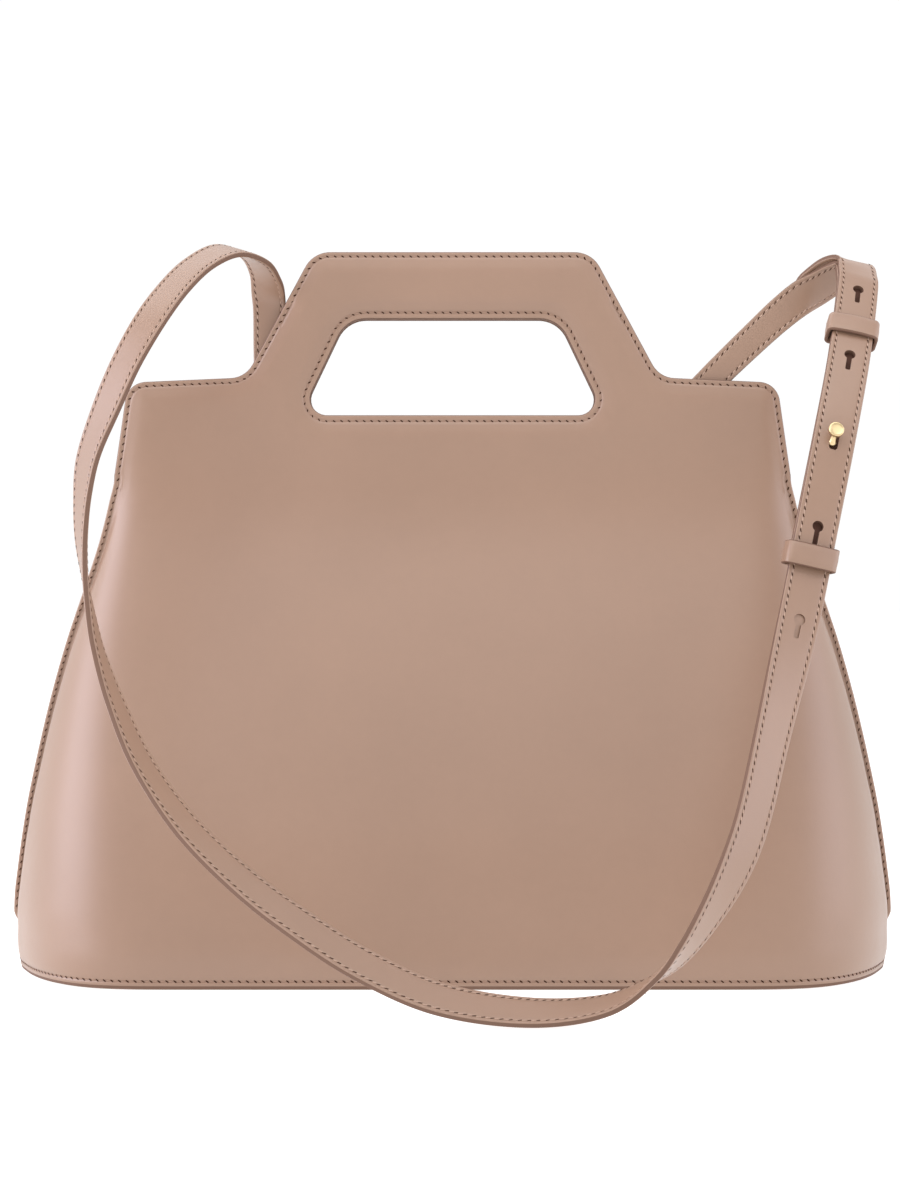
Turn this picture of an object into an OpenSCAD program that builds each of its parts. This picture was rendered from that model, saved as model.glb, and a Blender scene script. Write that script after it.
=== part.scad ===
// Top handle bag in smooth leather: two leather halves that lean together into a cut-out handle,
// a stitched base tray, folding side gussets, and a long strap that buckles on a stud and keyholes.
// Millimetres. X runs across the bag, the photographed face looks along -Y, Z is up, and the
// origin is the centre of the base on the surface that the bag stands on.

/* [Body] */
// Width over the side edges near the base
base_w = 373; // [340:1:400]
// Depth of the base from front to back
base_d = 150; // [130:1:160]
// Width over the side edges where the flat top part starts
plate_w = 286.4; // [270:0.2:300]
// Width over the outer ends of the shoulders
shoulder_w = 275.2; // [262:0.2:284]
// Height where the leaning faces turn into the flat top part
plate_z = 208; // [200:1:214]
// Height of the shoulders at their outer ends
shoulder_z = 246; // [240:1:252]
// Rise of each shoulder from its outer end to the handle
shoulder_rise = 3; // [0:0.5:6]
// Radius of the shoulder corners
shoulder_r = 9; // [5:0.5:12]
// How far the rounded corners of the base reach in from the sides
corner_reach = 43; // [30:1:50]
// How far the bend beside each side edge reaches in near the top
edge_reach = 8; // [6:0.5:12]
// Roundness of the corners in plan, where 2 is an ellipse and less is more pointed
corner_power = 1.6; // [1.4:0.05:2.2]
// Height at which the side gussets start
notch_z = 24; // [20:1:30]

/* [Handle] */
// Height of the top edge of the handle
handle_top_z = 302.4; // [295:0.2:310]
// Width of the handle outline at its top edge, before the corners are rounded
handle_top_w = 118; // [110:1:126]
// Width of the handle outline where it meets the shoulders, before the corners are rounded
handle_root_w = 175.4; // [168:0.2:184]
// Radius of the top corners of the handle
handle_r = 12; // [8:0.5:14]
// Radius of the inner corners between handle and shoulders
root_r = 11; // [8:0.5:14]
// Height of the lower edge of the hand opening
grip_low_z = 233.3; // [230:0.1:238]
// Height of the upper edge of the hand opening
grip_high_z = 274.1; // [270:0.1:278]
// Width of the hand opening at its lower edge, before the corners are rounded
grip_low_w = 128.8; // [120:0.2:134]
// Width of the hand opening at its upper edge, before the corners are rounded
grip_high_w = 89.8; // [84:0.2:94]
// Radius of the lower corners of the hand opening
grip_low_r = 7; // [5:0.5:12]
// Radius of the upper corners of the hand opening
grip_high_r = 13; // [8:0.5:15]

/* [Leather] */
// Thickness of the outer leather
panel_t = 2; // [1.6:0.1:2.4]
// Width of the turned-out edge at the side seams
flange_w = 2.3; // [2:0.1:3]
// Thickness of the board that stiffens each half
stiffener_t = 1.2; // [1:0.1:1.3]
// Thickness of the lining
lining_t = 0.8; // [0.6:0.1:0.9]
// Thickness of the leather core inside the handle
core_t = 1.6; // [1.4:0.1:1.8]
// Thickness of the facing leather inside the mouth
facing_t = 1; // [0.8:0.1:1.2]
// Thickness of the gusset leather
gusset_t = 1; // [0.8:0.1:1.1]
// Depth of the gusset fold at its lower end
fold_low = 7; // [5:0.5:10]
// Depth of the gusset fold at its upper end
fold_high = 24; // [16:1:30]
// Gap between the two halves at the mouth
mouth_gap = 3.6; // [3.4:0.1:4.4]
// Gap between the two leaves of a gusset at the side seam
seam_gap = 1.2; // [0.8:0.1:1.6]

/* [Base] */
// Thickness of the base leather
base_t = 2.2; // [1.8:0.1:2.6]
// Height of the upturned rim of the base, which is stitched inside the halves
rim_h = 10; // [8:0.5:13]
// Thickness of the rim
rim_t = 1.6; // [1.2:0.1:2]
// Thickness of the stiff board in the base
board_t = 2; // [1.5:0.1:3]
// How far the halves end above the surface that the bag stands on
hem_lift = 0.5; // [0.3:0.1:0.8]

/* [Snap] */
// Radius of the magnetic snap discs
snap_r = 8; // [6:0.5:8.5]
// Thickness of each snap disc
snap_t = 1.5; // [1.2:0.1:1.6]
// Radius of the locating stud on the snap
snap_stud_r = 2.7; // [2:0.1:3]
// Clearance round the locating stud
snap_clear = 0.6; // [0.5:0.1:0.8]
// Length by which the locating stud stands out of its disc
snap_stud_l = 1.2; // [0.8:0.1:1.3]

/* [Strap] */
// Width of the strap
strap_w = 17; // [15:0.5:18]
// Thickness of the strap
strap_t = 2.3; // [2:0.1:2.5]
// Width of the straps at their sewn ends
strap_end_w = 12.5; // [11:0.5:15]
// Gap between the two strap layers where they lie on each other
ply_gap = 0.3; // [0.2:0.05:0.4]
// Radius of the round part of a keyhole
keyhole_r = 2.3; // [2:0.1:2.5]
// Depth of the last keyhole, which is only marked in the leather
keyhole_mark = 0.6; // [0.5:0.1:1]
// Width of the slit of a keyhole
slit_w = 2.1; // [1.5:0.1:2.4]
// Length of the slit below the middle of the round part
slit_l = 8.2; // [6:0.2:10]
// Radius of the stud head
stud_head_r = 3.15; // [2.8:0.05:3.6]
// Thickness of the stud head
stud_head_t = 1.8; // [1.4:0.1:2.2]
// Radius of the stud neck
stud_neck_r = 1.65; // [1.4:0.05:1.8]
// Length of the long strap's tail that shows above the short strap's edge
tail_shift = 1.6; // [0:0.1:2.5]
// Length of the neck that stands out of the strap
stud_stand = 3.2; // [1.5:0.1:4]
// Radius of the screw head behind the stud
screw_head_r = 3.6; // [3:0.1:4.5]
// Room under the screw head for the bend of the strap
screw_gap = 0.5; // [0.5:0.05:0.8]
// Thickness of the screw head
screw_head_t = 1; // [0.8:0.1:1.4]
// Radius of the screw shank inside the stud
screw_r = 0.95; // [0.8:0.05:1.1]

/* [Keepers and rivets] */
// Length of each keeper along the strap
keeper_l = 10; // [7:0.5:11]
// Thickness of the keeper leather
keeper_t = 1.5; // [1:0.1:1.6]
// Clearance between a keeper and the strap layers
keeper_clear = 0.7; // [0.4:0.05:0.8]
// Radius of the rivets that hold the strap ends
rivet_r = 1.5; // [1.2:0.1:1.8]
// Radius of the rivet heads
rivet_head_r = 4; // [3:0.5:4.5]
// Thickness of the rivet heads
rivet_head_t = 0.7; // [0.5:0.1:0.9]

/* [Hidden] */

// Rows up the leaning part of a half: share of its height, of the lean, of the narrowing, and of
// the spread of the side seam into the flat top part
rise_shares = [[0, 0, 0, 0], [0.07, 0.045, 0.005, 0], [0.16, 0.125, 0.048, 0], [0.28, 0.25, 0.127, 0],
    [0.4, 0.38, 0.238, 0], [0.52, 0.515, 0.367, 0], [0.64, 0.65, 0.52, 0], [0.76, 0.785, 0.704, 0],
    [0.86, 0.895, 0.852, 0], [0.94, 0.965, 0.945, 0.4], [1, 1, 1, 1]];
// Steps of a rounded corner in plan, and of a rounded corner in the front outline
corner_steps = 6;
arc_steps = 6;
// Clearance between layers of the halves, and between pieces that stand end to end
layer_gap = 0.1;
end_gap = 0.3;
// Clearance between the flat layers of the top part
ply = 0.05;
// Gap between the two halves where they meet below the gussets
butt_gap = 0.4;
// Lip of the closed seam below the gussets, and the height over which the gusset edge ends
seam_lip = 0.3;
notch_step = 2;
// Overrun of every cut, and the offset that keeps a cut clear of a side edge
over = 4;
edge_clear = 0.05;
// Radius clearance round the rivets and the stud in the leather
hole_clear = 0.1;
// Place of the snap on the way from the start of the flat part up to the hand opening
snap_share = 0.5;
// Share of the rise above which the halves follow its rows, since the notch has steps of its own
first_share = 0.1;

// Half the thickness of the closed top part, and the height of the solid band at the base
top_half = mouth_gap / 2 + facing_t + core_t + panel_t + 2 * ply;
band_h = rim_h + end_gap;
snap_z = mixed(plate_z, grip_low_z, snap_share);
facing_y = mouth_gap / 2;
core_y = facing_y + facing_t + ply;

// Vector helpers
function unit(v) = v / norm(v);
function part_of(p, n) = [for (i = [0:n - 1]) p[i]];
function mixed(a, b, share) = a + (b - a) * share;

// Profile of a half: share up the leaning part, and what follows from it at a height
function up(z) = min(max((z - band_h) / (plate_z - band_h), 0), 1);
function column(k) = [for (r = rise_shares) [r[0], r[k]]];
function depth_at(z) = mixed(base_d / 2, top_half, lookup(up(z), column(1)));
function edge_at(z) = z <= plate_z
    ? mixed(base_w, plate_w, lookup(up(z), column(2))) / 2
    : mixed(plate_w, shoulder_w, min((z - plate_z) / (shoulder_z - plate_z), 1)) / 2;
function wall_at(z) = edge_at(z) - flange_w;
function reach_at(z) = mixed(corner_reach, edge_reach, lookup(up(z), column(1)));
function seam_at(z) = z < notch_z
    ? panel_t + butt_gap / 2
    : mixed(panel_t + gusset_t + seam_gap / 2, top_half, lookup(up(z), column(3)));
leaning_z = [for (r = rise_shares) if (r[0] > first_share) band_h + r[0] * (plate_z - band_h)];
wall_z = concat([band_h, notch_z - notch_step, notch_z], leaning_z);
panel_z = concat([hem_lift], wall_z, [shoulder_z, handle_top_z + over]);

// One rounded corner in plan, from the side seam to the flat face, for a layer inset by that much
function corner(z, inset, seam) = [for (k = [0:corner_steps])
    let (a = 90 * k / corner_steps, c = pow(cos(a), 2 / corner_power), s = pow(sin(a), 2 / corner_power))
    [wall_at(z) - inset - (reach_at(z) - inset) * (1 - c), seam + (depth_at(z) - inset - seam) * s]];
function turned(list) = [for (i = [len(list) - 1:-1:0]) list[i]];
// The same corner on the left and the right of the front half, from left to right
function front_path(c) = concat([for (p = c) [-p[0], -p[1]]], [for (p = turned(c)) [p[0], -p[1]]]);
function lifted(path, z) = [for (p = path) [p[0], p[1], z]];

// Section of the outer leather with its turned-out edges, and of a layer behind it
function panel_section(z) =
    let (tip = wall_at(z) + (z < notch_z ? seam_lip : flange_w), out = seam_at(z), in = out - panel_t)
    concat([[-tip, -out]], front_path(corner(z, 0, out)), [[tip, -out], [tip, -in]],
        turned(front_path(corner(z, panel_t, in))), [[-tip, -in]]);
function layer_section(z, inset, t) =
    let (seam = min(seam_at(z) - panel_t + end_gap, depth_at(z) - inset - t - layer_gap))
    concat(front_path(corner(z, inset, seam)), turned(front_path(corner(z, inset + t, seam))));

// Solid through closed sections with the same even number of points, where the second half of each
// section runs back along the first half. Both halves are split into triangles the same way, so that
// layers which follow each other keep their distance
module loft(rows) {
    n = len(rows[0]);
    sides = [for (i = [0:len(rows) - 2], j = [0:n - 1])
        let (a = i * n + j, b = i * n + (j + 1) % n)
        each j < n / 2 ? [[a, a + n, b + n], [a, b + n, b]] : [[a, a + n, b], [b, a + n, b + n]]];
    ends = [for (i = [0:n / 2 - 2]) [i, i + 1, n - 2 - i, n - 1 - i]];
    polyhedron(points = [for (r = rows) each r], convexity = 8, faces = concat(sides, ends,
        [for (q = ends) [for (j = turned(q)) (len(rows) - 1) * n + j]]));
}

// Outline with a rounded corner at each point that has a radius as its third number
function rounded(points) = [for (i = [0:len(points) - 1])
    let (n = len(points), q = part_of(points[i], 2), r = points[i][2],
        a = unit(part_of(points[(i + n - 1) % n], 2) - q), b = unit(part_of(points[(i + 1) % n], 2) - q),
        half = acos(a * b) / 2, c = q + (r > 0 ? unit(a + b) * r / sin(half) : [0, 0]),
        from = r > 0 ? q + a * r / tan(half) - c : [0, 0], to = r > 0 ? q + b * r / tan(half) - c : [0, 0],
        start = atan2(from[1], from[0]), turn = (atan2(to[1], to[0]) - start + 540) % 360 - 180)
    each r > 0 ? [for (k = [0:arc_steps]) c + r * [cos(start + turn * k / arc_steps),
        sin(start + turn * k / arc_steps)]] : [q]];
function both_sides(right) = concat(right, [for (p = turned(right)) [-p[0], p[1], p[2]]]);

// Top outline from below the right shoulder corner up to the handle
corner_z = shoulder_z - 2 * shoulder_r;
top_right = [[edge_at(corner_z) + edge_clear, corner_z, 0],
    [shoulder_w / 2 + edge_clear, shoulder_z, shoulder_r],
    [handle_root_w / 2, shoulder_z + shoulder_rise, root_r], [handle_top_w / 2, handle_top_z, handle_r]];
// What is kept of the lofted panel, the flat layers inside it, and the hand opening
panel_outline = rounded(both_sides(concat([[base_w, -over, 0], [base_w, corner_z, 0]], top_right)));
plate_outline = rounded(both_sides(concat([[edge_at(plate_z + end_gap), plate_z + end_gap, 0]], top_right)));
grip_outline = rounded(both_sides([[grip_low_w / 2, grip_low_z, grip_low_r],
    [grip_high_w / 2, grip_high_z, grip_high_r]]));

// Flat piece with that front outline, from a depth towards the front
module plate(outline, y, t) {
    translate([0, -y, 0]) rotate([90, 0, 0]) linear_extrude(height = t, convexity = 6) polygon(outline);
}
module grip_cut() {
    plate(grip_outline, -over, top_half + 2 * over);
}
// Round bar along Y between two depths in front of the middle plane
module bar(x, z, r, y_near, y_far) {
    translate([x, -y_near, z]) rotate([90, 0, 0]) cylinder(r = r, h = y_far - y_near, $fn = 48);
}

module half_panel() {
    difference() {
        intersection() {
            loft([for (z = panel_z) lifted(panel_section(z), z)]);
            plate(panel_outline, 0, base_d);
        }
        grip_cut();
    }
}
module half_layer(inset, t) {
    loft([for (z = wall_z) lifted(layer_section(z, inset, t), z)]);
}
stiffener_inset = panel_t + 2 * layer_gap;
lining_inset = stiffener_inset + stiffener_t + 2 * layer_gap;
module half_stiffener() {
    half_layer(stiffener_inset, stiffener_t);
}
module half_lining() {
    half_layer(lining_inset, lining_t);
}
module half_core() {
    difference() {
        plate(plate_outline, core_y, core_t);
        grip_cut();
    }
}
module half_facing() {
    difference() {
        plate(plate_outline, facing_y, facing_t);
        grip_cut();
    }
}
module to_back() {
    mirror([0, 1, 0]) children();
}
leather = [0.74, 0.6, 0.53];
leather_edge = [0.55, 0.42, 0.36];
board = [0.45, 0.42, 0.4];
suede = [0.66, 0.55, 0.48];
brass = [0.83, 0.69, 0.42];

module front_panel() { color(leather) half_panel(); }
module back_panel() { color(leather) to_back() half_panel(); }
module front_stiffener() { color(board) half_stiffener(); }
module back_stiffener() { color(board) to_back() half_stiffener(); }
module front_lining() { color(suede) half_lining(); }
module back_lining() { color(suede) to_back() half_lining(); }
// The front core and facing carry the two strap rivets
module front_handle_core() {
    color(leather_edge) difference() {
        half_core();
        rivet_holes();
    }
}
module front_facing() {
    color(leather) difference() {
        half_facing();
        rivet_holes();
    }
}
module back_handle_core() { color(leather_edge) to_back() half_core(); }
module back_facing() { color(leather) to_back() half_facing(); }

// Base: a leather tray whose rim is stitched inside the halves, a board, and a lining over it
function base_outline(inset) =
    let (front = front_path(corner(band_h, inset, butt_gap / 2)))
    concat(front, [for (p = turned(front)) [p[0], -p[1]]]);
rim_inset = panel_t + layer_gap;
floor_inset = rim_inset + rim_t + layer_gap;
module base_slab(inset, z, t) {
    translate([0, 0, z]) linear_extrude(height = t, convexity = 4) polygon(base_outline(inset));
}
module base_panel() {
    color(leather) difference() {
        base_slab(rim_inset, 0, rim_h);
        base_slab(rim_inset + rim_t, base_t, rim_h);
    }
}
module base_board() { color(board) base_slab(floor_inset, base_t + layer_gap, board_t); }
module base_lining() {
    color(suede) base_slab(floor_inset, base_t + board_t + 2 * layer_gap, lining_t);
}

// Side gussets: a folded strip whose two leaves lie on the turned-out edges of the halves
gusset_z = [for (z = wall_z) if (z >= notch_z && z < plate_z) z];
function fold_at(z) = mixed(fold_low, fold_high, (z - notch_z) / (plate_z - notch_z));
function gusset_section(z) =
    let (tip = edge_at(z), wall = wall_at(z) - panel_t, out = seam_at(z) - panel_t - layer_gap,
        in = out - gusset_t, fold = wall_at(z) - fold_at(z), crease = gusset_t / 2)
    [[tip, out], [wall, out], [fold, crease], [fold, -crease], [wall, -out], [tip, -out],
        [tip, -in], [wall, -in], [fold + 2 * gusset_t, -layer_gap], [fold + 2 * gusset_t, layer_gap],
        [wall, in], [tip, in]];
module gusset() {
    loft([for (z = gusset_z) lifted(gusset_section(z), z)]);
}
module right_gusset() { color(leather) gusset(); }
module left_gusset() { color(leather) mirror([1, 0, 0]) gusset(); }

// Magnetic snap: a ring on the front facing and a disc with a locating stud on the back facing
module front_snap() {
    color(brass) difference() {
        bar(0, snap_z, snap_r, facing_y - snap_t, facing_y);
        bar(0, snap_z, snap_stud_r + snap_clear, -over, facing_y + over);
    }
}
module back_snap() {
    color(brass) to_back() union() {
        bar(0, snap_z, snap_r, facing_y - snap_t, facing_y);
        bar(0, snap_z, snap_stud_r, facing_y - snap_t - snap_stud_l, facing_y);
    }
}

// Route of the long strap from its riveted left end, round the front and up the right side to its
// tip, as [x, y, z] and the direction across the strap
strap_rows = [[-78, -0.6, 222, 1, 0, 0], [-78, -0.6, 246, 1, 0, 0], [-78, -0.1, 262, 1, 0, 0],
    [-77.9, 0.3, 278, 1, 0, 0], [-78.2, -1.2, 284.4, 0.98, -0.16, -0.08],
    [-78.9, -8.3, 291.2, 0.88, -0.38, -0.28], [-82.8, -20, 297.4, 0.8, -0.51, -0.3],
    [-92.6, -34, 299, 0.8, -0.56, -0.28], [-103.3, -47, 291.8, 0.82, -0.55, -0.15],
    [-112.4, -60, 280.1, 0.82, -0.56, -0.1],
    [-120.5, -73, 265.5, 0.82, -0.57, -0.08], [-129, -80.5, 248, 0.77, -0.63, -0.03],
    [-136, -86.5, 229.5, 0.72, -0.69, 0], [-142, -91.5, 211, 0.6, -0.79, 0.08],
    [-143.8, -95, 195, 0.45, -0.88, 0.13], [-143.8, -98, 180, 0.32, -0.93, 0.17],
    [-142, -101.5, 165, 0.14, -0.97, 0.2], [-139.3, -105, 150, 0, -0.98, 0.2],
    [-135.5, -109.5, 135, -0.12, -0.97, 0.2], [-128, -115.5, 115, -0.28, -0.94, 0.15],
    [-116.5, -123, 92, -0.4, -0.91, 0.06], [-98.8, -132, 69.2, -0.47, -0.87, -0.1],
    [-77, -141.5, 50, -0.5, -0.83, -0.23], [-56, -149.5, 35.5, -0.46, -0.81, -0.34],
    [-32.5, -155.5, 21.5, -0.37, -0.82, -0.44], [-5, -159.5, 10, -0.2, -0.85, -0.49],
    [27, -160.5, 5.2, 0, -0.9, -0.43], [54, -157.5, 7, 0.04, -0.97, -0.24],
    [72, -151.5, 15, -0.08, -0.99, 0.06], [85, -144.5, 25, -0.22, -0.88, 0.42],
    [96.5, -136.5, 39.5, -0.4, -0.72, 0.56], [106.8, -127, 56, -0.6, -0.54, 0.6],
    [114.5, -117.5, 74, -0.72, -0.5, 0.48], [124.2, -102, 107, -0.78, -0.44, 0.42],
    [136, -83, 147, -0.94, -0.17, 0.3], [145.2, -69.5, 184, -0.95, -0.1, 0.28],
    [154.3, -58, 222.5, -0.96, 0.01, 0.26], [162.8, -38.7, 255, -0.96, 0.08, 0.25],
    [170, -14.5, 284.5, -0.95, 0.05, 0.28], [171.3, -6, 293, -0.95, -0.02, 0.28],
    [170.8, 2.5, 298.4, -0.88, -0.45, 0.12], [166.5, 8.6, 297.3, -0.8, -0.5, 0.33]];
// Route of the short strap where it is free, from the bend behind the long strap to its riveted end
short_rows = [[164.2, 7, 293.3, -0.65, -0.53, 0.45], [156.5, 7.8, 288.6, -0.45, -0.45, 0.77],
    [148.8, 6.5, 284, -0.56, -0.15, 0.82], [140.2, 4.5, 277.2, -0.63, 0.05, 0.77],
    [131.5, 3, 269.3, -0.68, 0.1, 0.72], [116.5, 0, 255, -0.71, 0.05, 0.7],
    [106.5, -0.6, 244.8, -0.71, 0, 0.71], [92, -0.6, 229.6, -0.71, 0, 0.71]];
// Rows at which the long strap has its keyholes, the one that the stud sits in, and where the
// short strap's tip and the keepers lie, counted in rows; the last row is the direction at the fold
keyhole_rows = [34, 35, 36, 37, 38];
stud_row = 36;
tip_row = 34.42;
upper_keeper_row = 37.4;
lower_keeper_row = 34.68;
// Row at which the long strap has grown to its full width, and the share of it at a strap's tip
full_row = 8;
tip_share = 0.55;
// Row where both straps fold over, and rows of the short strap on which the long one's tail lies
fold_row = len(strap_rows) - 2;
tail_rows = 3;

// Place and frame on a route: along it, across the strap, and out of its outer face
function row_at(rows, u) = let (i = min(floor(u), len(rows) - 2)) mixed(rows[i], rows[i + 1], u - i);
function place(row) = [row[0], row[1], row[2]];
function along(rows, u) =
    let (a = max(ceil(u) - 1, 0), b = min(floor(u) + 1, len(rows) - 1))
    unit(place(rows[b]) - place(rows[a]));
function across(row, t) = let (w = [row[3], row[4], row[5]]) unit(w - (w * t) * t);
function ring(row, t, width, out = 0, shift = 0) =
    let (w = across(row, t), n = cross(t, w), c = place(row) + n * out + w * shift)
    [for (k = [[-1, -1], [1, -1], [1, 1], [-1, 1]]) c + w * (k[0] * width / 2) + n * (k[1] * strap_t / 2)];

// Strap as a solid through rings of four points
function long_width(i) = mixed(strap_end_w, strap_w, min(max(i - 1, 0) / (full_row - 1), 1));
lap_out = strap_t + ply_gap;
lap_rows = [tip_row, for (i = [ceil(tip_row):fold_row]) i];
free_rows = concat([strap_rows[fold_row]], short_rows);
long_rings = concat(
    [for (i = [0:fold_row]) ring(strap_rows[i], along(strap_rows, i), long_width(i))],
    [for (i = [1:tail_rows]) ring(free_rows[i], along(free_rows, i),
        i == tail_rows ? strap_w * tip_share : strap_w, lap_out + layer_gap, tail_shift)]);
function short_width(i) = mixed(strap_w, strap_end_w, min(i / (len(short_rows) - 2), 1));
short_rings = concat(
    [for (u = lap_rows) ring(row_at(strap_rows, u), along(strap_rows, u),
        u == tip_row ? strap_w * tip_share : strap_w, -lap_out)],
    [for (i = [1:len(short_rows)]) ring(free_rows[i], along(free_rows, i), short_width(i))]);

// What follows is placed in the frame of the strap: X across it, Y along it, Z out of its face
module on_strap(u) {
    row = row_at(strap_rows, u);
    t = along(strap_rows, u);
    w = across(row, t);
    n = cross(t, w);
    c = place(row);
    multmatrix([[-w[0], t[0], n[0], c[0]], [-w[1], t[1], n[1], c[1]], [-w[2], t[2], n[2], c[2]],
        [0, 0, 0, 1]]) children();
}
module keyhole(depth) {
    translate([0, 0, strap_t / 2 - depth]) linear_extrude(height = depth + strap_t) union() {
        circle(r = keyhole_r, $fn = 32);
        translate([-slit_w / 2, -slit_l, 0]) square([slit_w, slit_l]);
    }
}
module strap_long() {
    color(leather) difference() {
        loft(long_rings);
        for (u = keyhole_rows) on_strap(u) keyhole(u == keyhole_rows[0] ? keyhole_mark : 2 * strap_t);
        bar(left_rivet[0], left_rivet[1], rivet_r + hole_clear, -over, over);
    }
}
module strap_short() {
    color(leather) difference() {
        loft(short_rings);
        // A quarter turn keeps the start of the circle off the crease between two rings
        on_strap(stud_row) translate([0, 0, -stud_back - over]) rotate(90)
            cylinder(r = stud_neck_r + hole_clear, h = stud_back + over, $fn = 32);
        bar(right_rivet[0], right_rivet[1], rivet_r + hole_clear, -over, over);
    }
}

// Stud through both straps, with the screw that holds it from behind
stud_back = strap_t / 2 + ply_gap + strap_t;
stud_length = stud_back + strap_t / 2 + stud_stand;
module strap_stud() {
    color(brass) on_strap(stud_row) difference() {
        union() {
            translate([0, 0, -stud_back]) cylinder(r = stud_neck_r, h = stud_length, $fn = 32);
            translate([0, 0, stud_length - stud_back]) cylinder(r = stud_head_r, h = stud_head_t, $fn = 48);
        }
        translate([0, 0, -stud_back - over]) cylinder(r = screw_r + ply, h = over + stud_back, $fn = 32);
    }
}
module stud_screw() {
    color(brass) on_strap(stud_row) translate([0, 0, -stud_back - screw_gap - screw_head_t]) union() {
        cylinder(r = screw_head_r, h = screw_head_t, $fn = 48);
        cylinder(r = screw_r, h = screw_head_t + screw_gap + stud_back - strap_t / 2, $fn = 32);
    }
}

// Keepers: closed leather loops round both strap layers
keeper_in_w = strap_w + 2 * keeper_clear;
keeper_in_t = 2 * strap_t + ply_gap + 2 * keeper_clear;
module keeper(u) {
    color(leather) on_strap(u) translate([0, keeper_l / 2, -(strap_t + ply_gap) / 2]) rotate([90, 0, 0])
        linear_extrude(height = keeper_l, convexity = 4) difference() {
            square([keeper_in_w + 2 * keeper_t, keeper_in_t + 2 * keeper_t], center = true);
            square([keeper_in_w, keeper_in_t], center = true);
        }
}
module upper_keeper() { keeper(upper_keeper_row); }
module lower_keeper() { keeper(lower_keeper_row); }

// Rivets through the strap ends, the front facing and the front core, as [x, z]
rivet_inset = 8;
function rivet_place(end, next) =
    let (p = place(end) + unit(place(next) - place(end)) * rivet_inset) [p[0], p[2]];
left_rivet = rivet_place(strap_rows[0], strap_rows[1]);
right_rivet = rivet_place(short_rows[len(short_rows) - 1], short_rows[len(short_rows) - 2]);
strap_back = strap_rows[0][1] + strap_t / 2;
module rivet_holes() {
    for (p = [left_rivet, right_rivet]) bar(p[0], p[1], rivet_r + hole_clear, -over, top_half);
}
module rivet(p) {
    color(brass) union() {
        bar(p[0], p[1], rivet_head_r, -strap_back - ply - rivet_head_t, -strap_back - ply);
        bar(p[0], p[1], rivet_r, -strap_back - ply - rivet_head_t, core_y + core_t);
    }
}
module left_strap_rivet() { rivet(left_rivet); }
module right_strap_rivet() { rivet(right_rivet); }

front_panel();
front_stiffener();
front_lining();
front_handle_core();
front_facing();
back_panel();
back_stiffener();
back_lining();
back_handle_core();
back_facing();
base_panel();
base_board();
base_lining();
left_gusset();
right_gusset();
front_snap();
back_snap();
strap_long();
strap_short();
strap_stud();
stud_screw();
left_strap_rivet();
right_strap_rivet();
upper_keeper();
lower_keeper();
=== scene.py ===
"""Looks of the top handle bag: leather, edge paint, stitching, strap, keepers and studio light."""
import math

import bpy
import numpy as np
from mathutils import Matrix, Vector
from mathutils.geometry import delaunay_2d_cdt
from mathutils.kdtree import KDTree


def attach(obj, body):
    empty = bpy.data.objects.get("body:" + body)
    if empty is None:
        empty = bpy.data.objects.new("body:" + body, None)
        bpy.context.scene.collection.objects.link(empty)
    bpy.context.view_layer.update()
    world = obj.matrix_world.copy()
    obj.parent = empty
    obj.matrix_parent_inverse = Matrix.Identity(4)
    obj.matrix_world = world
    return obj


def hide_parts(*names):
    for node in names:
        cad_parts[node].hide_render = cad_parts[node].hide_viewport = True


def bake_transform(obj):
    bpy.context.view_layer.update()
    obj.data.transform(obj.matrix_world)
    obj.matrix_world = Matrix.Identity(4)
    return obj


MM = 0.001
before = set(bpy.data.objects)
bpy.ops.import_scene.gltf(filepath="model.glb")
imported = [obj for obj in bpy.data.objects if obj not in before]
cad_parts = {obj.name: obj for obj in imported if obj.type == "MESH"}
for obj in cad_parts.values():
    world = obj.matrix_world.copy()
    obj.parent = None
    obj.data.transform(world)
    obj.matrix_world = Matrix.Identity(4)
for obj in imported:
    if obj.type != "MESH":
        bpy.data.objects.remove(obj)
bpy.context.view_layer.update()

# Sizes of the part, in millimetres, as in its source, but with the shoulders a little higher
BASE_W, BASE_D = 373.0, 150.0
PLATE_W, PLATE_Z = 286.4, 208.0
SHOULDER_W, SHOULDER_Z, SHOULDER_RISE, SHOULDER_R = 275.2, 247.1, 2.2, 9.0
CORNER_REACH, EDGE_REACH, CORNER_POWER = 43.0, 8.0, 1.6
NOTCH_Z, NOTCH_LOW, NOTCH_STEP = 24.0, 17.5, 6.0
HANDLE_TOP_Z, HANDLE_TOP_W, HANDLE_ROOT_W, HANDLE_R, ROOT_R = 302.4, 118.0, 175.4, 12.0, 11.0
GRIP_LOW_Z, GRIP_HIGH_Z, GRIP_LOW_W, GRIP_HIGH_W = 233.3, 274.1, 128.8, 89.8
GRIP_LOW_R, GRIP_HIGH_R = 7.0, 13.0
PANEL_T, FLANGE_W, HEM_LIFT, SEAM_LIP = 2.0, 2.3, 0.5, 0.3
HALF_T, TOP_HALF, BAND_H = 4.7, 6.5, 10.3
SEAM_OPEN, SEAM_CLOSED, SEAM_FROM = 3.6, 2.2, 180
RIM_INSET, RIM_H, RIM_T, FLOOR_Z = 2.1, 10.0, 1.6, 5.0
GUSSET_T, GUSSET_TOP, FOLD_LOW, FOLD_HIGH = 1.0, 200, 7.0, 24.0
STRAP_W, STRAP_T, STRAP_END_W, PLY_GAP = 17.0, 2.3, 12.5, 0.3
KEEPER_L, KEEPER_T, KEEPER_CLEAR = 10.0, 1.5, 0.7
KEEPER_R, KEEPER_BOW, KEEPER_SWELL = 2.2, 0.8, 0.12
KEYHOLE_R, SLIT_W, STUD_SLIT_W, SLIT_L = 2.3, 2.1, 3.5, 8.2
# The keyholes stop just short of the strap's back, and the thin floor left wears painted shade; the lowest
# one is only marked
KEYHOLE_MARK, KEYHOLE_DEPTH = 0.6, 2.15
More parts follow.
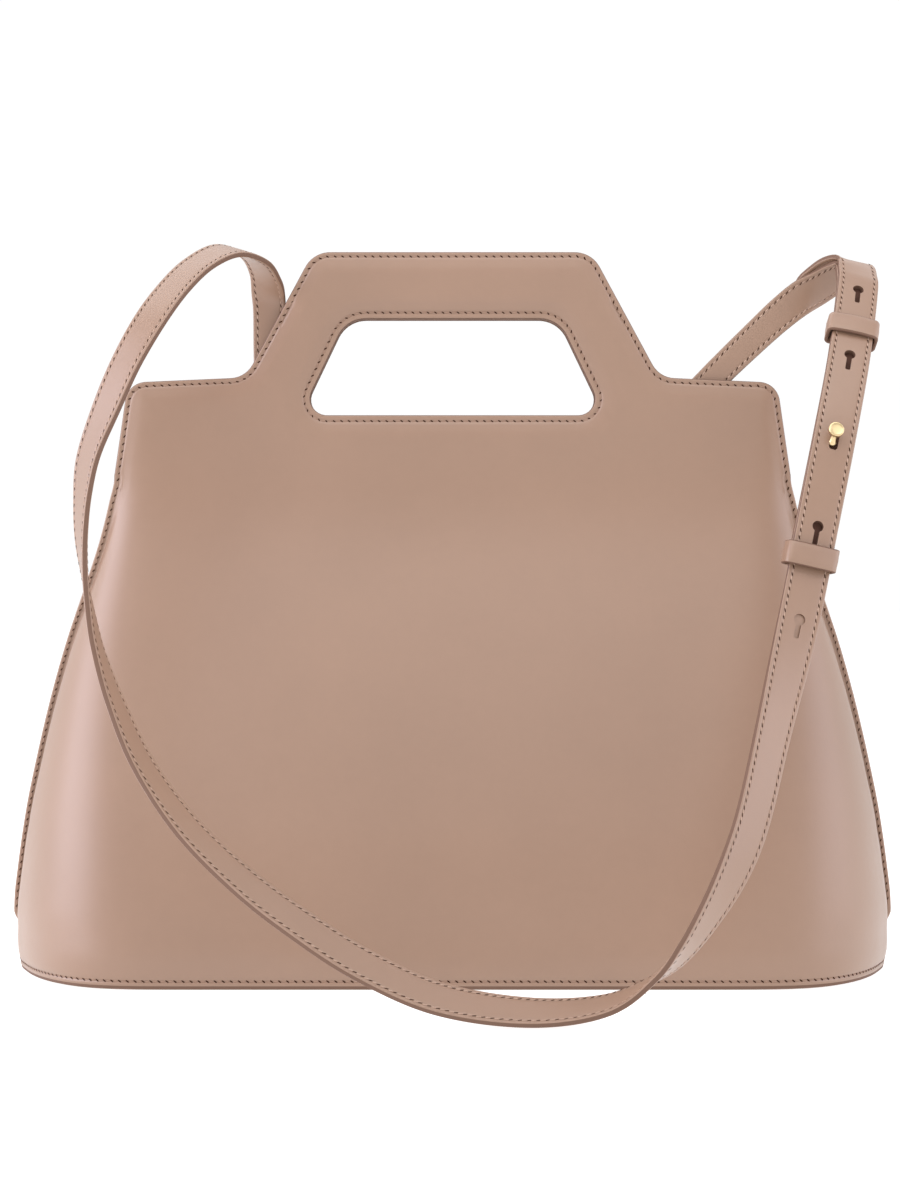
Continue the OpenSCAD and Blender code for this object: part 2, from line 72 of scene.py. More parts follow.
STUD_HEAD_R, STUD_HEAD_T, STUD_NECK_R, STUD_STAND, NECK_SLIDE = 3.15, 1.8, 1.65, 3.2, 3.4
STUD_AT, NECK_FROM = (-0.7, -1.5), 0.6
STITCH_PITCH = 3.2
CAMERA_AT = Vector((-1.06, -1100, 155))

# Looks alone, from here on. The draw-in at the hem, and the taper of the turned-out edges at the notch
HEM_DRAW, DRAW_TO, NOTCH_TAPER, TAPER_L = 1.2, 12, 0.3, 12
# The fillet behind those edges, and the softness of the corners as a share of their reach
FILLET, TURN, CORNER_SOFT = 3.2, 1.1, 0.36
# Crown of the faces, and spread of the bend into the flat top, each with the heights where it sets in
CROWN, CROWN_POWER, CROWN_FROM, CROWN_FULL = 4.2, 4, 5, 65
BEND_SPREAD, BEND_FROM, BEND_FULL = 13, 60, 120
# Soft padding towards the edges: at the top, at the hem, and on the side walls behind a crease
PAD_DEPTH, HEM_PAD, WALL_PAD, PAD_W = 1.8, 0.3, 1.2, 9.5
CREASE_IN, CREASE_W = 1.1, 0.9
EDGE_R, INNER_EDGE_R = 0.75, 0.6
GROOVE_DEPTH, SIDE_GROOVE_DEPTH, GROOVE_W = 0.42, 0.1, 0.6
# The strip below the hem's stitches: how far it sinks, its width, and how soft its upper edge is
STRIP_SINK, STRIP_W, STRIP_SOFT = 0.3, 1.75, 0.4
# How far the edge paint reaches over the faces: at the hem, at the top and at the sides
STRIP_PAINT, TOP_PAINT, SIDE_PAINT, PAINT_FROM = 1.35, 0.31, 0.1, 205

# Share of the height up the leaning part, and shares of the lean and of the narrowing there
RISE_SHARES = np.array([
    (0, 0, 0), (0.07, 0.045, 0.005), (0.16, 0.125, 0.048), (0.28, 0.25, 0.127), (0.4, 0.38, 0.238),
    (0.52, 0.515, 0.367), (0.64, 0.65, 0.52), (0.76, 0.785, 0.704), (0.86, 0.895, 0.852),
    (0.94, 0.965, 0.945), (1, 1, 1)])


def mixed(a, b, share):
    """What lies that share of the way from a to b."""
    return a + (b - a) * share


def ease(x):
    """Rises smoothly from 0 to 1 while x does."""
    x = np.clip(x, 0, 1)
    return x * x * (3 - 2 * x)


def unit(v):
    v = np.asarray(v, float)
    return v / np.maximum(np.linalg.norm(v, axis=-1, keepdims=True), 1e-12)


def curve_through(xs, ys, x):
    """Smooth curve through points, which never overshoots between two of them."""
    xs, ys = np.asarray(xs, float), np.asarray(ys, float)
    step, rise = np.diff(xs), np.diff(ys) / np.diff(xs)
    slope = np.zeros(len(xs))
    same = rise[:-1] * rise[1:] > 0
    slope[1:-1][same] = 2 * rise[:-1][same] * rise[1:][same] / (rise[:-1] + rise[1:])[same]
    i = np.clip(np.searchsorted(xs, x) - 1, 0, len(xs) - 2)
    t = np.clip((x - xs[i]) / step[i], 0, 1)
    t2, t3 = t * t, t * t * t
    return ((2 * t3 - 3 * t2 + 1) * ys[i] + (t3 - 2 * t2 + t) * step[i] * slope[i]
            + (3 * t2 - 2 * t3) * ys[i + 1] + (t3 - t2) * step[i] * slope[i + 1])


# The outer surface of a half, as rows of points from the middle of the front to the side edge
def risen(z, column):
    """Share of the lean (column 1) or of the narrowing (column 2) that is reached at a height."""
    rise = np.clip((z - BAND_H) / (PLATE_Z - BAND_H), 0, 1)
    return curve_through(RISE_SHARES[:, 0], RISE_SHARES[:, column], rise)


def edge_at(z):
    """Half of the width over the turned-out edges, as in the solids."""
    narrow = risen(z, 2)
    low = mixed(BASE_W, PLATE_W, narrow) / 2
    high = mixed(PLATE_W, SHOULDER_W, np.clip((z - PLATE_Z) / (SHOULDER_Z - PLATE_Z), 0, 1)) / 2
    return np.where(z <= PLATE_Z, low, high)


def notch(z):
    """0 below the place where the turned-out edges end, 1 above it."""
    return ease((z - NOTCH_LOW) / NOTCH_STEP)


def seam_at(z):
    """Distance of the outer surface from the middle plane at the side edges."""
    spread = ease((z - SEAM_FROM) / (PLATE_Z - SEAM_FROM))
    return mixed(SEAM_CLOSED, mixed(SEAM_OPEN, TOP_HALF, spread), notch(z))


def wall_at(z):
    """The side of the body, inside the turned-out edges."""
    return edge_at(z) - FLANGE_W - HEM_DRAW * ease((DRAW_TO - z) / (DRAW_TO - 1))


def tip_at(z):
    """The outermost line of the turned-out edges, which taper off above the base."""
    flange = FLANGE_W - NOTCH_TAPER * (1 - ease((z - NOTCH_Z) / TAPER_L))
    return wall_at(z) + mixed(SEAM_LIP, flange, notch(z))


def bell(spread, reach):
    """Weights of a bell curve that far to both sides, with the sum 1."""
    weights = np.exp(-0.5 * (np.arange(-reach, reach + 1) / spread) ** 2)
    return weights / weights.sum()


def softened(line, spread, mirror):
    """Numbers along a way smoothed by a bell of that spread, with the start mirrored."""
    reach = int(spread * 3) + 1
    padded = np.concatenate([mirror * line[reach:0:-1], line, np.full(reach, line[-1])])
    return np.convolve(padded, bell(spread, reach), "valid")


def evened(x, y, count):
    """Evenly spaced points on the way through those given, and their places along it."""
    way = np.concatenate([[0], np.cumsum(np.hypot(np.diff(x), np.diff(y)))])
    even = np.linspace(0, way[-1], count)
    return np.interp(even, way, x), np.interp(even, way, y), even


def section(z, count):
    """Evenly spaced points (x, y) from the middle to the tip at height z, and the length of the way."""
    lean = risen(z, 1)
    depth, reach = mixed(BASE_D / 2, TOP_HALF, lean), mixed(CORNER_REACH, EDGE_REACH, lean)
    wall, tip, seam = wall_at(z), float(tip_at(z)), float(seam_at(z))
    angle = np.radians(np.linspace(90, 0, 60))
    c, s = np.cos(angle) ** (2 / CORNER_POWER), np.sin(angle) ** (2 / CORNER_POWER)
    x = np.concatenate([np.linspace(0, wall - reach, 40, endpoint=False), wall - reach * (1 - c)])
    y = np.concatenate([np.full(40, depth), seam + (depth - seam) * s])
    turn = min(TURN, (tip - wall) * 0.6)
    fillet = min(mixed(1.0, FILLET, float(notch(z))), (depth - seam) * 0.5)
    keep = ~((y < seam + fillet) & (x > wall - reach * 0.5) & (depth - seam > 1.5))
    t = np.linspace(0, 1, 7)
    bend_x = (1 - t) ** 2 * x[keep][-1] + 2 * t * (1 - t) * wall + t * t * (wall + turn)
    bend_y = (1 - t) ** 2 * y[keep][-1] + 2 * t * (1 - t) * seam + t * t * seam
    x = np.concatenate([x[keep], bend_x[1:], [tip]])
    y = np.concatenate([y[keep], bend_y[1:], [seam]])
    x, y, even = evened(x, y, count)
    spread = reach * CORNER_SOFT / (even[1] - even[0])
    free = ease((even[-1] - even - 4) / (reach * 0.5))
    smooth_x, smooth_y = softened(x, spread, -1), softened(y, spread, 1)
    x, y = mixed(x, smooth_x, free), mixed(y, smooth_y, free)
    crown = CROWN * ease((z - CROWN_FROM) / (CROWN_FULL - CROWN_FROM))
    bulge = crown * (depth - TOP_HALF) / (BASE_D / 2 - TOP_HALF)
    y = y + bulge * (1 - np.minimum(np.abs(x) / wall, 1) ** CROWN_POWER) * free
    x, y, even = evened(x, y, count)
    return x, y, even[-1]


class Sheet:
    """The outer surface of the front half over (way, height): way is measured from the middle."""
    LOW, HIGH, STEP, COUNT = HEM_LIFT, HANDLE_TOP_Z + 2, 1.0, 600

    def __init__(self):
        self.z = np.arange(self.LOW, self.HIGH + self.STEP, self.STEP)
        rows = [section(z, self.COUNT) for z in self.z]
        self.x = np.array([r[0] for r in rows])
        self.y = self.eased(np.array([r[1] for r in rows]))
        self.length = np.array([r[2] for r in rows])

    def eased(self, y):
        """The depths with the bend into the flat top part spread over more height."""
        reach = BEND_SPREAD * 3
        padded = np.vstack([np.repeat(y[:1], reach, 0), y, np.repeat(y[-1:], reach, 0)])
        smooth = sum(b * padded[k:k + len(y)] for k, b in enumerate(bell(BEND_SPREAD, reach)))
        share = ease((self.z - BEND_FROM) / (BEND_FULL - BEND_FROM))[:, None]
        return mixed(y, np.maximum(smooth, TOP_HALF * (y > TOP_HALF - 0.01)), share)

    def half_way(self, z):
        """Length of the way from the middle to the side edge."""
        return np.interp(z, self.z, self.length)

    def at(self, way, z):
        """Points on the sheet in millimetres: x, y (towards the front is negative), z."""
        way, z = np.asarray(way, float), np.asarray(z, float)
        r = np.clip((z - self.LOW) / self.STEP, 0, len(self.z) - 1.001)
        i = r.astype(int)
        f = r - i
        share = np.abs(way) / self.half_way(z)
        c = np.clip(share, 0, 1) * (self.COUNT - 1)
        j = np.minimum(c.astype(int), self.COUNT - 2)
        g = c - j

        def look(table):
            low = table[i, j] * (1 - g) + table[i, j + 1] * g
            high = table[i + 1, j] * (1 - g) + table[i + 1, j + 1] * g
            return low * (1 - f) + high * f
        return np.stack([np.sign(way) * look(self.x), -look(self.y), z], -1)

    def normal(self, way, z, d=0.6):
        """Unit directions out of the sheet."""
        low, high = np.maximum(z - d, self.LOW), np.minimum(z + d, self.HIGH)
        far = self.half_way(z) - 0.02
        left, right = np.clip(way - d, -far, far), np.clip(way + d, -far, far)
        across = self.at(right, z) - self.at(left, z)
        up = self.at(way, high) - self.at(way, low)
        return unit(np.cross(across, up))


SHEET = Sheet()


def rounded(points, arc_step=0.8):
    """Closed outline through (x, y, radius) corners, with arcs where the radius isn't zero."""
    out = []
    for i, (x, y, r) in enumerate(points):
        q = np.array([x, y])
        if r == 0:
            out.append(q)
            continue
        a = unit(np.array(points[i - 1][:2]) - q)
        b = unit(np.array(points[(i + 1) % len(points)][:2]) - q)
        half = math.acos(float(a @ b)) / 2
        centre = q + unit(a + b) * r / math.sin(half)
        start, end = q + a * r / math.tan(half) - centre, q + b * r / math.tan(half) - centre
        a0 = math.atan2(start[1], start[0])
        turn = (math.atan2(end[1], end[0]) - a0 + 3 * math.pi) % (2 * math.pi) - math.pi
        steps = max(4, int(abs(turn) * r / arc_step))
        out += [centre + r * np.array([math.cos(a0 + turn * k / steps), math.sin(a0 + turn * k / steps)])
                for k in range(steps + 1)]
    return np.array(out)


def way_along(line):
    """Length of the way from the start of a line to each of its points."""
    return np.concatenate([[0], np.cumsum(np.linalg.norm(np.diff(line, axis=0), axis=1))])


def resampled(line, spacing, closed=False):
    """The same line with even spacing near the one given."""
    line = np.asarray(line, float)
    if closed:
        line = np.vstack([line, line[:1]])
    way = way_along(line)
    count = max(2, int(round(way[-1] / spacing)))
    even = np.linspace(0, way[-1], count + 1)
    out = np.stack([np.interp(even, way, line[:, k]) for k in range(line.shape[1])], -1)
    return out[:-1] if closed else out


def mirrored(right):
    """Corners on the right, going up, then the same ones on the left, going down."""
    return right + [(-x, y, r) for x, y, r in right[::-1]]


def half_outline():
    """Outline of a half over (way, height), anticlockwise from the lower left corner."""
    corner_z = SHOULDER_Z - 2 * SHOULDER_R
    fine_to = NOTCH_Z + NOTCH_STEP
    up = np.concatenate([np.arange(HEM_LIFT, fine_to, 0.5), np.arange(fine_to, corner_z, 2)])
    side = [(float(SHEET.half_way(z)), float(z)) for z in up]
    top = mirrored([(float(edge_at(corner_z)), corner_z, 0), (SHOULDER_W / 2, SHOULDER_Z, SHOULDER_R),
                    (HANDLE_ROOT_W / 2, SHOULDER_Z + SHOULDER_RISE, ROOT_R),
                    (HANDLE_TOP_W / 2, HANDLE_TOP_Z, HANDLE_R)])
    return np.array(side + [tuple(p) for p in rounded(top)] + [(-x, z) for x, z in side[::-1]])


def grip_outline():
    """Outline of the hand opening over (way, height)."""
    return rounded(mirrored([(GRIP_LOW_W / 2, GRIP_LOW_Z, GRIP_LOW_R),
                             (GRIP_HIGH_W / 2, GRIP_HIGH_Z, GRIP_HIGH_R)]))


def inward(loop):
    """Unit directions to the left of a closed loop of points."""
    t = unit(np.roll(loop, -1, 0) - np.roll(loop, 1, 0))
    return np.stack([-t[:, 1], t[:, 0]], -1)


def distances(points, line):
    """Distance of each flat point from the nearest point of a line."""
    tree = KDTree(len(line))
    for i, p in enumerate(line):
        tree.insert((p[0], p[1], 0), i)
    tree.balance()
    return np.array([tree.find((p[0], p[1], 0))[2] for p in points])


def inside(points, loop):
    """Which points lie inside a closed loop."""
    hit = np.zeros(len(points), bool)
    x, y = points[:, 0], points[:, 1]
    for (x0, y0), (x1, y1) in zip(loop, np.roll(loop, -1, 0)):
        if y0 == y1:
            continue
        crosses = (y0 > y) != (y1 > y)
        hit ^= crosses & (x < (x1 - x0) * (y - y0) / (y1 - y0) + x0)
    return hit


# Distances of the rings of mesh points from the edge, which have half as many points from THIN_FROM on
RINGS = (0, 0.12, 0.3, 0.55, 0.9, 1.3, 1.7, 2.0, 2.3, 2.6, 2.9, 3.2, 3.6, 4.2, 5.2, 6.4, 7.8)
THIN_FROM, EDGE_STEP, FIELD_STEP, FIELD_GAP = 4.5, 1.6, 3.2, 1.4
# How far the hem and the ring round the hand opening reach, and the height where a half grows thicker
HEM_REACH, GRIP_RING, THICK_FROM = 6, 8, 185
# Distances of the stitches from the edge
STITCH_IN, GRIP_STITCH_IN, HEM_STITCH_IN, STRAP_STITCH_IN, FLANGE_STITCH_IN = 2.0, 2.6, 3.2, 1.9, 1.3
# Heights over which the side edges pass into the top's, for their stitches and for the padding
STITCH_SHIFT_FROM, STITCH_SHIFT_TO, PAD_SHIFT_FROM, PAD_SHIFT_TO = 190, 220, 165, 225


def half_plan():
    """Points over (way, height), their distance from the nearest edge, triangles, and the two edge loops."""
    outer = resampled(half_outline(), EDGE_STEP, closed=True)
    grip = resampled(grip_outline(), EDGE_STEP, closed=True)
    fine = np.vstack([resampled(loop, 0.3, closed=True) for loop in (half_outline(), grip_outline())])
    points, gap = [outer, grip], [np.zeros(len(outer)), np.zeros(len(grip))]
    for d in RINGS[1:]:
        for loop, sign in ((outer, 1), (grip, -1)):
            ring = loop + inward(loop) * d * sign
            if d > THIN_FROM:
                ring = ring[::2]
            ok = (distances(ring, fine) > d - 0.06) & inside(ring, outer) & ~inside(ring, grip)
            points.append(ring[ok])
            gap.append(np.full(int(ok.sum()), d))
    widest = float(SHEET.length.max())
    across = np.arange(-widest, widest, FIELD_STEP)
    field = np.vstack([np.stack([across + (k % 2) * FIELD_STEP / 2, np.full(len(across), z)], -1)
                       for k, z in enumerate(np.arange(HEM_LIFT, HANDLE_TOP_Z, FIELD_STEP * 0.87))])
    field = field[inside(field, outer) & ~inside(field, grip)]
    far = distances(field, fine)
    free = far > RINGS[-1] + FIELD_GAP
    points.append(field[free])
    gap.append(far[free])
    points, gap = np.vstack(points), np.concatenate(gap)
    n = len(outer)
    loops = [list(range(n)), list(range(n, n + len(grip)))]
    edges = [pair for loop in loops for pair in zip(loop, loop[1:] + loop[:1])]
    made = delaunay_2d_cdt([Vector(p) for p in points], edges, [], 0, 1e-5, True)
    new_points, faces, source = np.array([(v.x, v.y) for v in made[0]]), np.array(made[2]), made[3]
    new_gap = np.array([gap[s[0]] if s else 0.0 for s in source])
    middle = new_points[faces].mean(1)
    faces = faces[inside(middle, outer) & ~inside(middle, grip)]
    place = {old: new for new, olds in enumerate(source) for old in olds}
    return new_points, new_gap, faces, [[place[i] for i in loop] for loop in loops]


def near_bottom(points):
    """Whether a point's nearest edge is the hem."""
    up = points[:, 1] - HEM_LIFT
    return (up < HEM_REACH) & (up < SHEET.half_way(points[:, 1]) - np.abs(points[:, 0]))


def in_grip_ring(points):
    """Whether a point lies near the hand opening."""
    way, z = np.abs(points[:, 0]), points[:, 1]
    return (way < GRIP_LOW_W / 2 + GRIP_RING) & (z > GRIP_LOW_Z - GRIP_RING) & (z < GRIP_HIGH_Z + GRIP_RING)


def edge_stitch_in(z):
    """Distance of the outer stitch line from the edge: closer on the narrow turned-out edges."""
    share = ease((z - STITCH_SHIFT_FROM) / (STITCH_SHIFT_TO - STITCH_SHIFT_FROM))
    return mixed(FLANGE_STITCH_IN, STITCH_IN, share)


def rounding(gap, r):
    """How far the surface drops towards an edge that is rounded with radius r."""
    return np.where(gap < r, r - np.sqrt(np.maximum(r * r - (r - np.minimum(gap, r)) ** 2, 0)), 0)


def skin_offset(points, gap):
    """How far the skin lies behind the plain sheet: rounded edge, stitch groove and soft padding."""
    z, low = points[:, 1], near_bottom(points)
    high = ease((z - PAD_SHIFT_FROM) / (PAD_SHIFT_TO - PAD_SHIFT_FROM))
    at_edge = np.where(in_grip_ring(points), GRIP_STITCH_IN, edge_stitch_in(z))
    stitch_at = np.where(low, HEM_STITCH_IN, at_edge)
    groove_depth = np.where(low, GROOVE_DEPTH, mixed(SIDE_GROOVE_DEPTH, GROOVE_DEPTH, high))
    groove = groove_depth * np.exp(-((gap - stitch_at) / GROOVE_W) ** 2)
    strip = np.where(low, STRIP_SINK * ease((STRIP_W - gap) / STRIP_SOFT), 0)
    over_hem = z - HEM_LIFT <= gap + 0.2
    fade = 1 - ease(gap / PAD_W)
    beside = ease((gap - CREASE_IN) / CREASE_W) * (1 - ease((gap - FLANGE_W) / PAD_W))
    pad = np.where(over_hem, HEM_PAD * fade, mixed(WALL_PAD * beside, PAD_DEPTH * fade, high))
    return rounding(gap, EDGE_R) + groove + strip + pad


def inner_offset(points, gap):
    """How far the inner face lies behind the plain sheet: thin at the hem and at the side edges."""
    z = points[:, 1]
    flat = ease((z - THICK_FROM) / (PLATE_Z - THICK_FROM))
    thick = mixed(PANEL_T, HALF_T, np.maximum(flat, ease((gap - FLANGE_W) / 3.0)))
    return np.where(z < BAND_H + 2, PANEL_T, thick) - rounding(gap, INNER_EDGE_R)


def added(name, data):
    """New object in the scene."""
    obj = bpy.data.objects.new(name, data)
    bpy.context.scene.collection.objects.link(obj)
    return obj


def mesh_object(name, verts, faces, materials, slots=None, smooth=True):
    """Mesh object from points in millimetres."""
    mesh = bpy.data.meshes.new(name)
    faces = [tuple(int(i) for i in f) for f in faces]
    mesh.from_pydata([tuple(p) for p in np.asarray(verts) * MM], [], faces)
    for material in materials:
        mesh.materials.append(material)
    if slots is not None:
        mesh.polygons.foreach_set("material_index", np.asarray(slots, np.int32))
    mesh.polygons.foreach_set("use_smooth", np.full(len(faces), smooth))
    mesh.update()
    return added(name, mesh)


def value(node, name, amount):
    node.inputs[name].default_value = amount


class Finish:
    """A material in the making, with textures over the object's own coordinates."""

    def __init__(self, name):
        self.material = bpy.data.materials.new(name)
        self.material.use_nodes = True
        self.nodes, self.links = self.material.node_tree.nodes, self.material.node_tree.links
        self.shader = self.nodes["Principled BSDF"]
        self.coords = self.nodes.new("ShaderNodeTexCoord")

    def texture(self, kind, **amounts):
        node = self.nodes.new("ShaderNodeTex" + kind)
        for name, amount in amounts.items():
            value(node, name, amount)
        self.links.new(self.coords.outputs["Object"], node.inputs["Vector"])
        return node

    def roughness(self, source, low, high):
        spread = self.nodes.new("ShaderNodeMapRange")
        value(spread, "To Min", low)
        value(spread, "To Max", high)
        self.links.new(source.outputs["Fac"], spread.inputs["Value"])
        self.links.new(spread.outputs["Result"], self.shader.inputs["Roughness"])

    def relief(self, height, strength):
        bump = self.nodes.new("ShaderNodeBump")
        value(bump, "Strength", strength)
        value(bump, "Distance", 0.0002)
        self.links.new(height, bump.inputs["Height"])
        self.links.new(bump.outputs["Normal"], self.shader.inputs["Normal"])


def leather(name, colour, vary=0.06, rough=0.44, grain=0.14, coat=0.6, coat_rough=0.45):
    """Smooth calf leather: fine pores, slight clouding in colour and gloss, thin finish."""
    finish = Finish(name)
    nodes, links = finish.nodes, finish.links
    cloud = finish.texture("Noise", Scale=14.0, Detail=4.0)
    fleck = finish.texture("Noise", Scale=260.0, Detail=3.0)
    blend = nodes.new("ShaderNodeMath")
    blend.operation = "MULTIPLY_ADD"
    blend.inputs[1].default_value = 0.3
    links.new(fleck.outputs["Fac"], blend.inputs[0])
    links.new(cloud.outputs["Fac"], blend.inputs[2])
    ramp = nodes.new("ShaderNodeValToRGB")
    for stop, place, share in zip(ramp.color_ramp.elements, (0.35, 0.95), (1 - vary, 1 + vary)):
        stop.position = place
        stop.color = (*(c * share for c in colour), 1)
    links.new(blend.outputs[0], ramp.inputs[0])
    links.new(ramp.outputs[0], finish.shader.inputs["Base Color"])
    finish.roughness(fleck, rough - 0.05, rough + 0.05)
    pores = finish.texture("Voronoi", Scale=1400.0)
    pores.feature = "DISTANCE_TO_EDGE"
    creases = finish.texture("Noise", Scale=520.0, Detail=5.0)
    height = nodes.new("ShaderNodeMath")
    height.operation = "ADD"
    links.new(pores.outputs["Distance"], height.inputs[0])
    links.new(creases.outputs["Fac"], height.inputs[1])
    finish.relief(height.outputs[0], grain)
    value(finish.shader, "Coat Weight", coat)
    value(finish.shader, "Coat Roughness", coat_rough)
    return finish.material


def plain(name, colour, rough=0.5, metal=0.0, specular=0.5, glow=0.0, bump_scale=900.0, bump=0.05):
    """Simple finish with a little unevenness in its surface, which may glow white."""
    finish = Finish(name)
    value(finish.shader, "Base Color", (*colour, 1))
    value(finish.shader, "Metallic", metal)
    value(finish.shader, "Specular IOR Level", specular)
    value(finish.shader, "Emission Color", (1, 1, 1, 1))
    value(finish.shader, "Emission Strength", glow)
    noise = finish.texture("Noise", Scale=bump_scale)
    finish.roughness(noise, rough * 0.85, rough * 1.15)
    finish.relief(noise.outputs["Fac"], bump)
    return finish.material


def srgb(r, g, b):
    """Linear colour from screen values of 0 to 255, none of them near black."""
    return tuple(((c / 255 + 0.055) / 1.055) ** 2.4 for c in (r, g, b))


LEATHER = leather("leather", srgb(147, 116, 95))
STRAP = leather("strap_leather", srgb(147, 116, 95))
PAINT = plain("edge_paint", srgb(112, 85, 70), rough=0.65, specular=0.3)
LINING = plain("lining", srgb(170, 142, 124), rough=0.9, bump_scale=1600.0, bump=0.3)
THREAD = plain("thread", srgb(158, 127, 108), rough=0.6, bump_scale=2600.0, bump=0.4)
STRAP_THREAD = plain("strap_thread", srgb(182, 152, 133), rough=0.6, bump_scale=2600.0, bump=0.4)
# Near-black colour of the stitch holes: painted shade, worn by slim dark bodies laid just over the surface
# where the holes are
STITCH_HOLE_SHADE = plain("stitch_hole_painted_shade", srgb(56, 30, 19), rough=1.0, specular=0.02)
# Dark brown floor left in the cut keyholes: painted shade for their dark inside
KEYHOLE_FLOOR_SHADE = plain("keyhole_floor_painted_shade", srgb(86, 56, 44), rough=0.9)
BRASS = plain("brass", srgb(220, 197, 152), rough=0.32, metal=1.0, bump_scale=400.0, bump=0.02)


def to_side(points, back):
    """Points of the front half, or mirrored to the back half."""
    return points * (1, -1 if back else 1, 1)


PLAN, GAP, TRIANGLES, LOOPS = half_plan()


def half_shell(name, back):
    """One half as a closed shell: leather outside, painted edges, lining inside."""
    base = SHEET.at(PLAN[:, 0], PLAN[:, 1])
    normal = SHEET.normal(PLAN[:, 0], PLAN[:, 1])
    outer = base - normal * skin_offset(PLAN, GAP)[:, None]
    inner = base - normal * inner_offset(PLAN, GAP)[:, None]
    inner[:, 2] = np.clip(inner[:, 2], HEM_LIFT, HANDLE_TOP_Z)
    n = len(PLAN)
    faces, slots = [], []
    for a, b, c in TRIANGLES:
        faces += [(a, b, c), (n + a, n + c, n + b)]
        slots += [0, 2 if PLAN[a, 1] < PLATE_Z else 0]
    for loop in LOOPS:
        for a, b in zip(loop, loop[1:] + loop[:1]):
            faces.append((b, a, n + a, n + b))
            slots.append(1)
    verts = to_side(np.vstack([outer, inner]), back)
    if back:
        faces = [f[::-1] for f in faces]
    obj = mesh_object(name, verts, faces, [LEATHER, PAINT, LINING], slots)
    paint_edge(obj, n)
    return obj


def paint_edge(obj, n):
    """The faces nearest to an edge wear the edge paint, outside and inside."""
    limit = np.where(near_bottom(PLAN), STRIP_PAINT, np.where(PLAN[:, 1] > PAINT_FROM, TOP_PAINT, SIDE_PAINT))
    for polygon in obj.data.polygons:
        ids = [i % n for i in polygon.vertices]
        if max(GAP[i] for i in ids) <= limit[ids[0]]:
            polygon.material_index = 1


def placed(template, faces, frames):
    """Copies of a template at frames (origin, x, y, z), as points and faces."""
    o, x, y, z = (v[:, None, :] for v in frames)
    points = o + template[:, 0:1] * x + template[:, 1:2] * y + template[:, 2:3] * z
    starts = len(template) * np.arange(len(o))
    all_faces = np.array(faces)[None, :, :] + starts[:, None, None]
    return points.reshape(-1, 3), all_faces.reshape(-1, len(faces[0]))


def around(rings, n, closed=False):
    """Corners of the faces between rings of n points: two on a ring, then two on the next one."""
    for i in range(rings if closed else rings - 1):
        j = (i + 1) % rings
        for k in range(n):
            m = (k + 1) % n
            yield i * n + k, i * n + m, j * n + m, j * n + k


def turned(corners):
    """The same faces seen from the other side, from the same first corner."""
    return [(a, d, c, b) for a, b, c, d in corners]


def capsule(length, width, height, rings=(-0.5, -0.42, -0.2, 0.2, 0.42, 0.5), sides=6):
    """Slim body along X with tapering ends, as quads."""
    points, faces = [], list(around(len(rings), sides))
    for r in rings:
        swell = math.sqrt(max(0.02, 1 - (abs(r) / 0.5) ** 4))
        for k in range(sides):
            a = 2 * math.pi * k / sides
            points.append((r * length, math.cos(a) * width / 2 * swell, math.sin(a) * height / 2 * swell))
    for end, order in ((0, -1), (len(rings) - 1, 1)):
        ids = [end * sides + k for k in range(sides)][::order]
        faces += [(ids[0], ids[1], ids[2], ids[3]), (ids[0], ids[3], ids[4], ids[5])]
    return np.array(points), faces


THREAD_BODY = capsule(2.0, 0.5, 0.4)
HOLE_BODY = capsule(1.5, 0.5, 0.16)
HEM_HOLE_BODY = capsule(1.55, 0.5, 0.16)
STRAP_HOLE_BODY = capsule(1.7, 0.36, 0.16)
# Turn of the threads and of the holes against the line, in radians, and how far both stand out
THREAD_TURN, HOLE_TURN, STRAP_HOLE_TURN = 0.16, math.radians(-38), math.radians(25)
THREAD_OUT, HOLE_OUT = 0.1, 0.2


def turned_frame(origin, along, normal, angle, out):
    """Frames turned in the surface, that far out of it."""
    side = unit(np.cross(normal, along))
    x = unit(along * math.cos(angle) + side * math.sin(angle))
    return origin + normal * out, x, unit(np.cross(normal, x)), normal


def stitches(name, origin, along, normal, turn=HOLE_TURN, hole_body=HOLE_BODY, thread=THREAD):
    """A row of saddle stitches: threads at the given places with a slanted hole after each, drawn as a slim
    body over the surface whose near-black colour is painted shade for the inside of the hole.
    """
    frames = turned_frame(origin, along, normal, THREAD_TURN, THREAD_OUT)
    threads, thread_faces = placed(*THREAD_BODY, frames)
    frames = turned_frame(origin + along * STITCH_PITCH / 2, along, normal, turn, HOLE_OUT)
    holes, hole_faces = placed(*hole_body, frames)
    verts = np.vstack([threads, holes])
    faces = np.vstack([thread_faces, hole_faces + len(threads)])
    slots = np.repeat([0, 1], [len(thread_faces), len(hole_faces)])
    # The hole bodies wear the near-black painted shade
    return mesh_object(name, verts, faces, [thread, STITCH_HOLE_SHADE], slots)


def stitch_line(name, line, back, inset=None, closed=False, hole_body=HOLE_BODY):
    """Stitches along a line over (way, height) of a half, at an inset or along the outer edge."""
    points = resampled(line, STITCH_PITCH, closed)
    first, last = points[-1], points[0]
    if not closed:
        first, last = 2 * points[0] - points[1], 2 * points[-1] - points[-2]
    wider = np.vstack([first, points, last])
    normal = SHEET.normal(points[:, 0], points[:, 1])
    gap = edge_stitch_in(points[:, 1]) if inset is None else np.full(len(points), inset)
    depth = skin_offset(points, gap)
    origin = SHEET.at(points[:, 0], points[:, 1]) - normal * depth[:, None]
    wider = SHEET.at(wider[:, 0], wider[:, 1])
    along = unit(wider[2:] - wider[:-2])
    origin, along, normal = (to_side(v, back) for v in (origin, along, normal))
    if back:
        along = -along
    return stitches(name, origin, along, normal, hole_body=hole_body)


